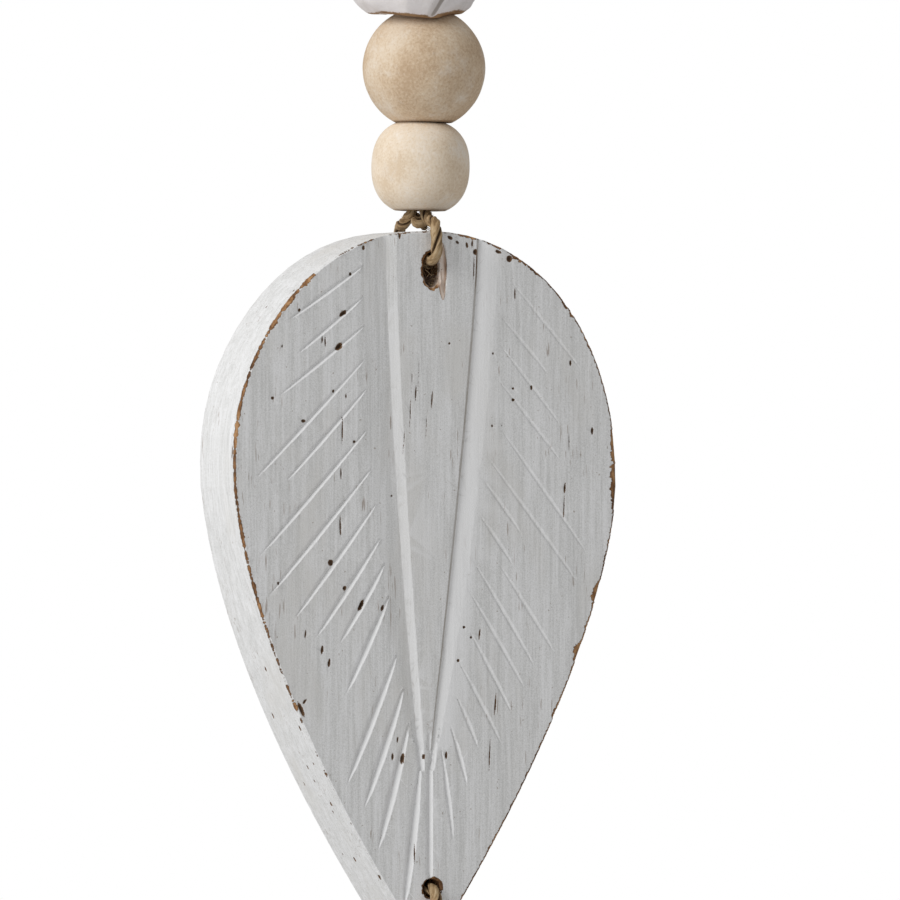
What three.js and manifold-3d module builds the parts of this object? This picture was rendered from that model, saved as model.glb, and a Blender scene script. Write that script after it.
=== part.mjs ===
// A hanging drop: a carved, whitewashed wooden leaf under a short stack of wooden beads on jute twine.
// Millimetres, +Z up. The origin is the inside top of the twine loop, where a hook or nail carries it.
// The leaf's carved face looks along -Y.

import * as THREE from 'three';
import { mergeVertices } from 'three/addons/utils/BufferGeometryUtils.js';
import Module from 'manifold-3d';

const wasm = await Module();
wasm.setup();

// ---------------------------------------------------------------- driving dimensions

// Twine
const TWINE = 2.8;
const GAP = 0.3;
const LOOP_HALF_WIDTH = 9;
const LOOP_DROP = 58;
const KNOT_SCALE = 1.95;
const KNOT_LIFT = 1.7;
const KNOT_SQUEEZE = 0.88;
const KNOT_STUB = 4.2;
const KNOT_RISE = 2.45;
const KNOT_FALL = 2.1;
const STRAND_APART = 1.9;
const END_TAIL = 16;

// Beads: radius, height, roundness of the profile (2 is a ball), sideways shift and lean on the twine
const BORE_RADIUS = 4;
const SMALL_BEAD = { radius: 12, height: 21, fullHeight: 23.1, roundness: 2.4 };
const LARGE_BEAD = { radius: 15, height: 26.2, fullHeight: 29.6, roundness: 2 };
const WHITE_BEAD = { radius: 17, shoulder: 15.2, flat: 10.6, height: 28, sides: 11, creases: 5 };
const BEAD_GAP = 0.45;
const TIE_DROP = 5.4;
const TIP_DROP = 21;

// Leaf board
const LEAF = { width: 102, height: 176, thickness: 21, widest: 62, offset: -0.7, chamfer: 0.5 };
const LEAF_CROWN_POWER = 2.15;
const LEAF_FLANK_POWER = 1.56;
const LEAF_TIP_HALF_WIDTH = 1.6;
const LEFT_SHOULDER = { extra: 1.1, depth: 43, reach: 32 };
const OUTLINE_STEPS = 42;
const HOLE = { x: 0.3, halfWidth: 2.3, top: 9.4, topHalfHeight: 4.3, bottom: 159.6 };
const LEAF_SHIFT = -1.2;
const HOLE_X = LEAF_SHIFT + HOLE.x;

// Midrib: a flat strip left standing between two gouged channels that meet above the lower hole
const RIB = { halfWidth: 10.4, tipHalfWidth: 0.5, length: 129, power: 1.3, crownShift: 1.6, tipShift: -1.1 };
const CHANNEL = { depth: 0.75, endSlope: 1.2, steps: 10 };
const LEFT_CHANNEL = { wall: 2.5, slope: 9 };
const RIGHT_CHANNEL = { wall: 0.8, slope: 5.2 };
const KEEL = { top: 122, x: -0.4, steepSide: 1.0, easySide: 1.9, depth: 0.8 };

// Veins: how far below the top and out from the middle a cut starts, its fall in degrees and its length
const LEFT_VEINS = [
  [6.5, 15, 34, 28.5], [14.5, 16, 38.5, 26], [21, 15, 37, 33], [28.5, 15, 45, 47],
  [36, 15, 46.5, 36], [46, 15, 47, 46], [55.5, 14, 48.5, 45], [64, 13, 52, 39],
  [73, 12.5, 54.5, 32], [78.5, 11, 58, 26], [86, 10, 64, 30], [100, 8, 67, 38],
  [108.5, 6.5, 70, 34], [117.5, 5.5, 75, 34.5], [127.5, 2.8, 83, 38],
];
const RIGHT_VEINS = [
  [10.5, 20, 48.5, 32], [20, 18, 47.5, 21], [26.5, 17.5, 50, 28], [35, 17, 49.5, 29],
  [46, 17, 52.5, 43], [53, 13.5, 51.5, 44], [60, 13.5, 52, 18], [68.5, 12.5, 53.5, 16.5],
  [80, 17.5, 55.5, 29], [79, 10.5, 57.5, 34], [86.5, 9.5, 58, 31], [96, 9.5, 60.5, 26],
  [104, 7, 60.5, 25], [112.5, 6.5, 65.5, 15], [119.5, 5, 73.5, 16.5], [124.5, 2.5, 82, 25],
];
const VEIN = { depth: 0.6, lowerWall: 0.9, upperWall: 1.1 };
const SPLINTER = { x: 3.4, top: 3.2, length: 12.5, halfWidth: 0.7, depth: 0.8 };

// ---------------------------------------------------------------- materials

const WHITEWASH = new THREE.MeshStandardMaterial({ color: 0xd9dad8, roughness: 0.82, metalness: 0 });
const CHALK_WHITE = new THREE.MeshStandardMaterial({ color: 0xdcd6d2, roughness: 0.9, metalness: 0 });
const PALE_WOOD = new THREE.MeshStandardMaterial({ color: 0xd9c6a6, roughness: 0.75, metalness: 0 });
const JUTE = new THREE.MeshStandardMaterial({ color: 0xb3925f, roughness: 0.95, metalness: 0 });

// ---------------------------------------------------------------- shared shape functions

// A closed body through rings of points: sides between the rings and a flat fan on each end.
function loft(rings) {
  const count = rings[0].length;
  const positions = rings.flat().flatMap((p) => [p.x, p.y, p.z]);
  const index = [];
  for (let r = 0; r < rings.length - 1; r++) {
    for (let i = 0; i < count; i++) {
      const j = (i + 1) % count;
      const here = r * count;
      const next = here + count;
      index.push(here + i, here + j, next + j, here + i, next + j, next + i);
    }
  }
  const last = (rings.length - 1) * count;
  for (let i = 1; i < count - 1; i++) {
    index.push(0, i + 1, i);
    index.push(last, last + i, last + i + 1);
  }
  const geometry = new THREE.BufferGeometry();
  geometry.setAttribute('position', new THREE.Float32BufferAttribute(positions, 3));
  geometry.setIndex(signedVolume(positions, index) < 0 ? index.reverse() : index);
  return geometry;
}

function signedVolume(positions, index) {
  const corner = (k) => new THREE.Vector3().fromArray(positions, 3 * index[k]);
  let volume = 0;
  for (let k = 0; k < index.length; k += 3) {
    volume += corner(k).dot(corner(k + 1).cross(corner(k + 2))) / 6;
  }
  return volume;
}

function solidFrom(geometry) {
  const bare = geometry.clone();
  bare.deleteAttribute('normal');
  bare.deleteAttribute('uv');
  const merged = mergeVertices(bare, 1e-4);
  return new wasm.Manifold(new wasm.Mesh({
    numProp: 3,
    vertProperties: new Float32Array(merged.attributes.position.array),
    triVerts: new Uint32Array(merged.index.array),
  }));
}

function geometryFrom(solid) {
  const mesh = solid.getMesh();
  const geometry = new THREE.BufferGeometry();
  geometry.setAttribute('position', new THREE.Float32BufferAttribute(mesh.vertProperties, 3));
  geometry.setIndex(Array.from(mesh.triVerts));
  geometry.computeVertexNormals();
  return geometry;
}

function cutFrom(geometry, cutters) {
  let solid = solidFrom(geometry);
  for (const cutter of cutters) {
    solid = solid.subtract(solidFrom(cutter));
  }
  return geometryFrom(solid);
}

// A round twine along a smooth curve through hand-placed points.
function twineAlong(points, steps, radius = TWINE / 2) {
  const sides = 8;
  const section = new THREE.Shape();
  for (let i = 0; i < sides; i++) {
    const angle = (2 * Math.PI * i) / sides;
    const place = [Math.cos(angle) * radius, Math.sin(angle) * radius];
    if (i === 0) section.moveTo(...place);
    else section.lineTo(...place);
  }
  section.closePath();
  const extrudePath = new THREE.CatmullRomCurve3(points.map((p) => new THREE.Vector3(...p)));
  return new THREE.ExtrudeGeometry(section, { extrudePath, steps, bevelEnabled: false });
}

function place(name, geometry, material, z = 0, shift = 0, lean = 0) {
  const mesh = new THREE.Mesh(geometry, material);
  mesh.name = name;
  mesh.position.set(shift, 0, z);
  mesh.rotation.y = THREE.MathUtils.degToRad(lean);
  return mesh;
}

// ---------------------------------------------------------------- turned beads

// Half profile of a turned bead with a through bore: a superellipse cut flat at both ends.
function turnedBead({ radius, height, fullHeight, roundness }) {
  const arcSteps = 8;
  const half = height / 2;
  const profile = [new THREE.Vector2(BORE_RADIUS, -half)];
  for (let i = 0; i <= arcSteps; i++) {
    const z = half * Math.sin((Math.PI / 2) * (2 * i / arcSteps - 1));
    const reach = 1 - Math.pow(Math.abs(z) / (fullHeight / 2), roundness);
    profile.push(new THREE.Vector2(radius * Math.pow(reach, 1 / roundness), z));
  }
  profile.push(new THREE.Vector2(BORE_RADIUS, half));
  profile.push(profile[0].clone());
  return new THREE.LatheGeometry(profile, 22).rotateX(Math.PI / 2);
}

// The whitewashed bead is cut with flat facets and slanting creases from one end to the other.
function carvedBead({ radius, shoulder, flat, height, sides, creases }) {
  const half = height / 2;
  const rise = flat * 0.45;
  const profile = [
    [BORE_RADIUS, -half], [flat, -half], [shoulder, rise - half], [radius, -half * 0.3],
    [radius, half * 0.3], [shoulder, half - rise], [flat, half], [BORE_RADIUS, half], [BORE_RADIUS, -half],
  ].map((p) => new THREE.Vector2(...p));
  const body = new THREE.LatheGeometry(profile, sides).rotateX(Math.PI / 2);
  const slant = THREE.MathUtils.degToRad(34);
  const firstCrease = THREE.MathUtils.degToRad(-84);
  const cutters = [];
  for (let c = 0; c < creases; c++) {
    const rings = [];
    for (let i = 0; i <= 6; i++) {
      const along = i / 3 - 1;
      const angle = firstCrease + (2 * Math.PI * c) / creases + slant * along;
      const surface = Math.min(radius, shoulder + (1 - Math.abs(along)) * radius * 0.3);
      const bottom = Math.abs(along) > 0.99 ? flat - 1.2 : surface - 1.9;
      const outward = new THREE.Vector3(Math.cos(angle), Math.sin(angle), 0);
      const across = new THREE.Vector3(-Math.sin(angle), Math.cos(angle), 0);
      const centre = new THREE.Vector3(0, 0, along * (half + 0.6));
      const mouth = radius + 2;
      const spread = 2.4;
      rings.push([
        centre.clone().addScaledVector(outward, bottom),
        centre.clone().addScaledVector(outward, mouth).addScaledVector(across, spread),
        centre.clone().addScaledVector(outward, mouth).addScaledVector(across, -spread),
      ]);
    }
    cutters.push(loft(rings));
  }
  return cutFrom(body, cutters);
}

// ---------------------------------------------------------------- leaf board

// Half the board's width at a depth below its top: a full rounded crown over a long tapering flank.
function leafHalfWidth(depth) {
  const half = LEAF.width / 2;
  if (depth < LEAF.widest) {
    const rise = (LEAF.widest - depth) / LEAF.widest;
    return half * Math.max(0, 1 - rise ** LEAF_CROWN_POWER) ** (1 / LEAF_CROWN_POWER);
  }
  const share = Math.min(1, (depth - LEAF.widest) / (LEAF.height - LEAF.widest));
  return half * (1 - share ** LEAF_FLANK_POWER);
}

// The left shoulder was sawn a little fuller than the right one.
function shoulderExtra(depth) {
  const away = Math.abs(depth - LEFT_SHOULDER.depth) / LEFT_SHOULDER.reach;
  return away < 1 ? LEFT_SHOULDER.extra * Math.cos((Math.PI / 2) * away) ** 2 : 0;
}

function leafOutline() {
  const flank = [];
  for (let i = 1; i <= OUTLINE_STEPS; i++) {
    const depth = (LEAF.height / 2) * (1 - Math.cos((Math.PI * i) / OUTLINE_STEPS));
    const halfWidth = leafHalfWidth(depth);
    if (halfWidth > LEAF_TIP_HALF_WIDTH) flank.push([halfWidth, -depth]);
  }
  const shape = new THREE.Shape();
  shape.moveTo(LEAF.offset, 0);
  for (const [x, z] of flank) shape.lineTo(LEAF.offset - x - shoulderExtra(-z), z);
  shape.lineTo(LEAF.offset - LEAF_TIP_HALF_WIDTH / 2, -LEAF.height);
  shape.lineTo(LEAF.offset + LEAF_TIP_HALF_WIDTH / 2, -LEAF.height);
  for (const [x, z] of flank.reverse()) shape.lineTo(LEAF.offset + x, z);
  shape.closePath();
  for (const [depth, halfHeight] of [[HOLE.top, HOLE.topHalfHeight], [HOLE.bottom, HOLE.halfWidth]]) {
    const hole = new THREE.Path();
    hole.absellipse(HOLE.x, -depth, HOLE.halfWidth, halfHeight, 0, 2 * Math.PI, true);
    shape.holes.push(hole);
  }
  return shape;
}

function leafBoard() {
  const body = new THREE.ExtrudeGeometry(leafOutline(), {
    depth: LEAF.thickness - 2 * LEAF.chamfer,
    bevelThickness: LEAF.chamfer,
    bevelSize: LEAF.chamfer,
    bevelOffset: -LEAF.chamfer,
    bevelSegments: 1,
    curveSegments: 12,
  });
  body.translate(0, 0, LEAF.chamfer - LEAF.thickness / 2);
  return body.rotateX(Math.PI / 2);
}

// A point on or under the carved face, at a place on the board and a depth into the wood.
function inFace(x, z, into) {
  return new THREE.Vector3(x, into - LEAF.thickness / 2, z);
}

// Where the rib's edge lies on one side; the rib leans a little, from right at its top to left at its tip.
function ribEdge(depth, side) {
  const share = Math.min(1, Math.max(0, depth) / RIB.length);
  const halfWidth = RIB.tipHalfWidth + RIB.halfWidth * (1 - share ** RIB.power);
  return halfWidth + side * THREE.MathUtils.lerp(RIB.crownShift, RIB.tipShift, share);
}

// The gouged channel beside the rib: a wall up to the rib and a hollow slope out to the field.
function ribChannel({ wall, slope }, side) {
  const rings = [];
  for (let i = 0; i <= CHANNEL.steps; i++) {
    const share = i / CHANNEL.steps;
    const depth = -2 + share * (RIB.length + 4);
    const rib = ribEdge(depth, side);
    const foot = rib + wall * (1 - 0.5 * share ** 3);
    const out = THREE.MathUtils.lerp(slope, CHANNEL.endSlope, share ** 3);
    rings.push([
      inFace(side * (rib - 0.8), -depth, -1),
      inFace(side * rib, -depth, 0),
      inFace(side * foot, -depth, CHANNEL.depth),
      inFace(side * (foot + out * 0.45), -depth, CHANNEL.depth * 0.42),
      inFace(side * (foot + out), -depth, 0),
      inFace(side * (foot + out * 1.3), -depth, -1),
    ]);
  }
  return loft(rings);
}

// The single groove from where the channels meet down into the lower hole.
function keelGroove() {
  const rings = [];
  for (const [depth, share] of [[KEEL.top, 0.3], [RIB.length + 4, 1], [HOLE.bottom, 1]]) {
    rings.push([
      inFace(KEEL.x, -depth, KEEL.depth * share),
      inFace(KEEL.x + KEEL.steepSide * share * 2, -depth, -KEEL.depth * share),
      inFace(KEEL.x - KEEL.easySide * share * 2, -depth, -KEEL.depth * share),
    ]);
  }
  return loft(rings);
}

// One tapering vein: a V whose upper wall leans back a little more than the lower one.
function veinCut(start, direction, length, side, scale) {
  const upperX = direction[1];
  const upperDepth = -direction[0];
  const rings = [];
  for (const [share, size] of [[0, 0.02], [0.12, 0.5], [0.35, 0.9], [0.6, 1], [0.85, 0.7], [1, 0.02]]) {
    const x = start[0] + direction[0] * length * share;
    const depth = start[1] + direction[1] * length * share;
    const at = (along, into) => inFace(side * (x + upperX * along), -(depth + upperDepth * along), into);
    const width = size * scale;
    rings.push([
      at(0, VEIN.depth * width),
      at(VEIN.upperWall * width * 2, -VEIN.depth * width),
      at(-VEIN.lowerWall * width * 2, -VEIN.depth * width),
    ]);
  }
  return loft(rings);
}

function veins(cuts, side) {
  return cuts.map(([depth, out, fall, length]) => {
    const share = depth / RIB.length;
    const angle = THREE.MathUtils.degToRad(fall);
    const scale = side < 0 ? 0.85 + 0.95 * share ** 2 : 0.7 + 0.2 * share;
    return veinCut([out, depth], [Math.cos(angle), Math.sin(angle)], length, side, scale);
  });
}

// A shallow splinter torn out beside the upper hole.
function splinter() {
  const rings = [];
  for (const [share, size] of [[0, 0.3], [0.15, 1], [0.8, 0.9], [1, 0.1]]) {
    const depth = SPLINTER.top + SPLINTER.length * share;
    const half = SPLINTER.halfWidth * size;
    rings.push([
      inFace(SPLINTER.x - half, -depth, SPLINTER.depth * size),
      inFace(SPLINTER.x + half, -depth, SPLINTER.depth * size * 0.7),
      inFace(SPLINTER.x + half, -depth, -1),
      inFace(SPLINTER.x - half, -depth, -1),
    ]);
  }
  return loft(rings);
}

function carvedLeaf() {
  return cutFrom(leafBoard(), [
    ribChannel(LEFT_CHANNEL, -1),
    ribChannel(RIGHT_CHANNEL, 1),
    keelGroove(),
    ...veins(LEFT_VEINS, -1),
    ...veins(RIGHT_VEINS, 1),
    splinter(),
  ]);
}

// ---------------------------------------------------------------- knots and twine

// An overhand knot drawn flat in X-Z with both ends at one side; up is 1 for ends above, -1 for below.
// The twine is a little thinner where the knot squeezes it.
function overhandKnot(up, tail, steps = 36) {
  const opening = 0.4;
  const squareness = 0.3;
  const points = [];
  const turns = 13;
  for (let i = 0; i <= turns; i++) {
    const turn = Math.PI + opening + ((2 * Math.PI - 2 * opening) * i) / turns;
    points.push([
      KNOT_SCALE * (Math.sin(turn) + 2 * Math.sin(2 * turn)),
      -KNOT_LIFT * (Math.sin(3 * turn) + squareness * Math.sin(9 * turn)),
      -up * KNOT_SCALE * (Math.cos(turn) - 2 * Math.cos(2 * turn)),
    ]);
  }
  const end = KNOT_SCALE * KNOT_RISE + tail;
  points.unshift([STRAND_APART, 0, up * end], [STRAND_APART, 0, up * (end - tail * 0.3)]);
  points.push([-STRAND_APART, 0, up * (end - tail * 0.3)], [-STRAND_APART, 0, up * end]);
  return twineAlong(points, steps, KNOT_SQUEEZE * TWINE / 2);
}

function hangingLoop(bottom) {
  const top = TWINE / 2;
  const side = [
    [STRAND_APART, 0, bottom],
    [STRAND_APART, 0, bottom + 2],
    [2.6, 0, bottom + 8],
    [4.2, 0, bottom + 16],
    [6.8, 0, bottom + 28],
    [LOOP_HALF_WIDTH, 0, bottom + 40],
    [7.6, 0, top - 3.6],
    [4.2, 0, top - 0.7],
  ];
  const otherSide = side.map(([x, y, z]) => [-x, y, z]).reverse();
  return twineAlong([...side, [0, 0, top], ...otherSide], 32);
}

// Both strands leave the bead's bore, straddle the board's top edge and meet in the upper hole.
function upperLeafTwine(beadBottom, leafTop) {
  const face = LEAF.thickness / 2 + TWINE / 2 + GAP;
  const inHole = leafTop - HOLE.top + HOLE.topHalfHeight - TWINE / 2 - GAP;
  const front = [
    [1.3, -1.6, beadBottom + 2.5],
    [1.3, -1.6, beadBottom - 0.6],
    [1.2, -3.8, beadBottom - 2.4],
    [0.2, -8.2, beadBottom - 3.1],
    [-0.5, -face + 0.7, leafTop + 1.3],
    [-0.7, -face - 0.3, leafTop - 1.2],
    [-0.7, -face - 0.4, leafTop - 4.4],
    [-0.7, -face - 0.1, inHole + 1.2],
    [HOLE_X, -face + 1.8, inHole - 0.3],
    [HOLE_X, -LEAF.thickness / 4, inHole],
  ];
  const back = [
    [HOLE_X, LEAF.thickness / 4, inHole],
    [-0.6, face - 1.6, inHole - 0.3],
    [0.3, face + 0.1, inHole + 1.0],
    [0.9, face + 0.4, leafTop - 4.4],
    [0.9, face + 0.3, leafTop - 1.0],
    [0.5, face - 0.9, leafTop + 1.5],
    [-0.6, 7.2, beadBottom - 3.3],
    [-1.4, 3.2, beadBottom - 2.3],
    [-1.1, 1.1, beadBottom - 0.6],
    [-0.9, 1.1, beadBottom + 2.5],
  ];
  return twineAlong([...front, ...back], 36);
}

// The knotted tail that sits between the strands, tucked under the bead.
function upperTie(beadBottom) {
  return twineAlong([
    [-0.5, -0.4, beadBottom - 2.9],
    [0.4, -0.4, beadBottom - 3.2],
    [1.4, -0.2, beadBottom - 3.5],
    [2.4, 0, beadBottom - 3.8],
  ], 6, KNOT_SQUEEZE * TWINE / 2);
}

// The twine hangs out of the lower hole on both faces and meets again under the tip.
function lowerLeafTwine(leafTop, knotTop) {
  const face = LEAF.thickness / 2 + TWINE / 2 + GAP;
  const inHole = leafTop - HOLE.bottom - HOLE.halfWidth + TWINE / 2 + GAP;
  const tip = leafTop - LEAF.height;
  const front = [
    [HOLE_X, -LEAF.thickness / 4, inHole],
    [HOLE_X, -face + 1.8, inHole + 0.3],
    [-0.8, -face - 0.1, inHole - 1.2],
    [-0.9, -face - 0.4, inHole - 4.4],
    [-0.8, -face - 0.4, tip + 1.5],
    [-0.2, -face + 0.6, tip - 2.2],
    [0.9, -7.4, tip - 5.8],
    [1.6, -3.2, knotTop + 4],
    [STRAND_APART, -0.2, knotTop + 1.6],
    [STRAND_APART, 0, knotTop],
  ];
  const back = [
    [-STRAND_APART, 0, knotTop],
    [-STRAND_APART, 0.2, knotTop + 1.6],
    [-1.85, 3.2, knotTop + 4],
    [-1.7, 7.4, tip - 5.8],
    [-1.5, face - 0.6, tip - 2.2],
    [-1.3, face + 0.4, tip + 1.5],
    [HOLE_X, face + 0.4, inHole - 4.4],
    [HOLE_X, face + 0.1, inHole - 1.2],
    [HOLE_X, face - 1.8, inHole + 0.3],
    [HOLE_X, LEAF.thickness / 4, inHole],
  ];
  return twineAlong([...back, ...front], 42);
}

function straightTwine(top, bottom) {
  return twineAlong([[0, 0, top], [0, 0, (top + bottom) / 2], [0, 0, bottom]], 2);
}

// ---------------------------------------------------------------- the drop, from the top down

const knotReach = KNOT_SCALE * KNOT_RISE + KNOT_STUB;
const knotDepth = KNOT_SCALE * KNOT_FALL + TWINE / 2;
const below = (z, height) => z - BEAD_GAP - height;

const topKnotZ = -LOOP_DROP;
const topBeadTop = topKnotZ - knotDepth - GAP;
const whiteBeadTop = below(topBeadTop, SMALL_BEAD.height);
const largeBeadTop = below(whiteBeadTop, WHITE_BEAD.height);
const smallBeadTop = below(largeBeadTop, LARGE_BEAD.height);
const smallBeadBottom = smallBeadTop - SMALL_BEAD.height;
const leafTop = smallBeadBottom - TIE_DROP;
const leafTip = leafTop - LEAF.height;
const lowerKnotZ = leafTip - TIP_DROP;
const lowerSmallTop = lowerKnotZ - knotDepth - GAP;
const lowerLargeTop = below(lowerSmallTop, SMALL_BEAD.height);
const lowerBottom = lowerLargeTop - LARGE_BEAD.height;
const endKnotZ = lowerBottom - knotDepth - GAP;

const smallBead = turnedBead(SMALL_BEAD);
const largeBead = turnedBead(LARGE_BEAD);
const middle = (top, bead) => top - bead.height / 2;

const drop = new THREE.Group();
drop.add(
  place('hanging_loop', hangingLoop(topKnotZ + knotReach + GAP), JUTE),
  place('top_knot', overhandKnot(1, KNOT_STUB), JUTE, topKnotZ),
  place('top_bead', smallBead, PALE_WOOD, middle(topBeadTop, SMALL_BEAD), -0.4),
  place('white_bead', carvedBead(WHITE_BEAD), CHALK_WHITE, middle(whiteBeadTop, WHITE_BEAD), -0.6, 2.2),
  place('large_bead', largeBead, PALE_WOOD, middle(largeBeadTop, LARGE_BEAD), 1.7),
  place('small_bead', smallBead, PALE_WOOD, middle(smallBeadTop, SMALL_BEAD), 0.8, 1),
  place('bead_twine', straightTwine(topKnotZ - knotDepth - GAP, smallBeadBottom + 3), JUTE),
  place('upper_leaf_twine', upperLeafTwine(smallBeadBottom, leafTop), JUTE),
  place('upper_tie', upperTie(smallBeadBottom), JUTE),
  place('leaf', carvedLeaf(), WHITEWASH, leafTop, LEAF_SHIFT),
  place('lower_leaf_twine', lowerLeafTwine(leafTop, lowerKnotZ + knotReach + GAP), JUTE),
  place('lower_knot', overhandKnot(1, KNOT_STUB), JUTE, lowerKnotZ),
  place('lower_small_bead', smallBead, PALE_WOOD, middle(lowerSmallTop, SMALL_BEAD), 0.5),
  place('lower_large_bead', largeBead, PALE_WOOD, middle(lowerLargeTop, LARGE_BEAD), -0.5),
  place('lower_bead_twine', straightTwine(lowerKnotZ - knotDepth - GAP, lowerBottom), JUTE),
  place('end_knot', overhandKnot(-1, END_TAIL, 52), JUTE, endKnotZ),
);

export default drop;
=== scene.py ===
# A hanging drop: a carved, whitewashed wooden leaf under a short stack of wooden beads on jute twine.

import math
import random
import bpy
import numpy as np
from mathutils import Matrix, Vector, kdtree, noise


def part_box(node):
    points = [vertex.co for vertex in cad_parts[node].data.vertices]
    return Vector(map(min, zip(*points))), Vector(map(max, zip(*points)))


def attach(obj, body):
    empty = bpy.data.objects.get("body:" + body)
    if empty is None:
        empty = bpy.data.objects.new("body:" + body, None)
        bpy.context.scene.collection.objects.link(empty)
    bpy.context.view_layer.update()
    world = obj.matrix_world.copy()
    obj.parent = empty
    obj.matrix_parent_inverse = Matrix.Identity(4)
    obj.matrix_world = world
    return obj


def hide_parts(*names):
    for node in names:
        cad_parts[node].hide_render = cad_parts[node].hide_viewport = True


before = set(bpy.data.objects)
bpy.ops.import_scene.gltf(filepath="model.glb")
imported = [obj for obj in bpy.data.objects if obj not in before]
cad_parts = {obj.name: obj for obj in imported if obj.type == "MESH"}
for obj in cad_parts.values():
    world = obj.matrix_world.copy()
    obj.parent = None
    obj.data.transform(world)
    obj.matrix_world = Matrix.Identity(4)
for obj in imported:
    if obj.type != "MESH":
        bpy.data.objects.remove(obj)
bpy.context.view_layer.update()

# ------------ camera
# Eye level with the upper part of the leaf, standing to its left, with a long lens.

EYE_BELOW_LEAF_TOP = 0.0532
AIM_TO_THE_RIGHT = 0.0079
CAMERA_DISTANCE = 2.0
SENSOR_WIDTH = 36
LENS = 327.9

leaf_low, leaf_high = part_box("leaf")
camera_turn = math.radians(25)
eye_height = leaf_high.z - EYE_BELOW_LEAF_TOP
aim = Vector((
    AIM_TO_THE_RIGHT * math.cos(camera_turn), -AIM_TO_THE_RIGHT * math.sin(camera_turn), eye_height
))
towards_camera = Vector((-math.sin(camera_turn), -math.cos(camera_turn), 0))

bpy.ops.object.select_all(action="DESELECT")
bpy.ops.object.camera_add(
    location=aim + towards_camera * CAMERA_DISTANCE, rotation=(math.radians(90), 0, -camera_turn)
)
camera = bpy.context.object
camera.name = "camera"
camera.data.sensor_width = SENSOR_WIDTH
camera.data.lens = LENS
bpy.context.scene.camera = camera

# ------------ hanging loop
# A loop of two-ply jute twine that goes over a hook or nail. Its two feet run down into the top knot,
# and everything else hangs from them.

MM = 0.001
TWINE = 0.0028
TWINE_LAY = 0.0155
PLY = {"offset": 0.00058, "half_depth": 0.00076, "half_width": 0.00118, "sides": 20}
COURSE_STEP = 0.00042
CURVE_STEPS = 30
FIBRE_STEPS = 5
CLEARANCE = 0.0003


def even_course(points):
    """Evenly spaced points on a smooth curve through the given ones."""
    held = [Vector(p) for p in points]
    held = [held[0] * 2 - held[1], *held, held[-1] * 2 - held[-2]]
    fine = []
    for a, b, c, d in zip(held, held[1:], held[2:], held[3:]):
        ab, bc, cd = [(q - p).length ** 0.5 for p, q in ((a, b), (b, c), (c, d))]
        leaving = ((b - a) / ab - (c - a) / (ab + bc) + (c - b) / bc) * bc
        arriving = ((c - b) / bc - (d - b) / (bc + cd) + (d - c) / cd) * bc
        for i in range(CURVE_STEPS):
            u = i / CURVE_STEPS
            fine.append(
                b * (2 * u**3 - 3 * u**2 + 1)
                + leaving * (u**3 - 2 * u**2 + u)
                + c * (3 * u**2 - 2 * u**3)
                + arriving * (u**3 - u**2)
            )
    fine.append(held[-2])
    reached = [0.0]
    for a, b in zip(fine, fine[1:]):
        reached.append(reached[-1] + (b - a).length)
    count = max(4, round(reached[-1] / COURSE_STEP))
    course, k = [], 0
    for i in range(count + 1):
        wanted = reached[-1] * i / count
        while k < len(fine) - 2 and reached[k + 1] < wanted:
            k += 1
        share = (wanted - reached[k]) / (reached[k + 1] - reached[k])
        course.append(fine[k].lerp(fine[k + 1], min(1.0, share)))
    return course


def course_length(course):
    return sum((b - a).length for a, b in zip(course, course[1:]))


def carried_frames(course):
    """The direction along the course at each point, and a side direction carried along without twist."""
    last = len(course) - 1
    ahead = [
        (course[min(i + 1, last)] - course[max(i - 1, 0)]).normalized() for i in range(last + 1)
    ]
    side = ahead[0].orthogonal().normalized()
    across = []
    for i in range(last + 1):
        if i:
            side = ahead[i - 1].rotation_difference(ahead[i]) @ side
        side = (side - ahead[i] * side.dot(ahead[i])).normalized()
        across.append(side.copy())
    return ahead, across


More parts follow.
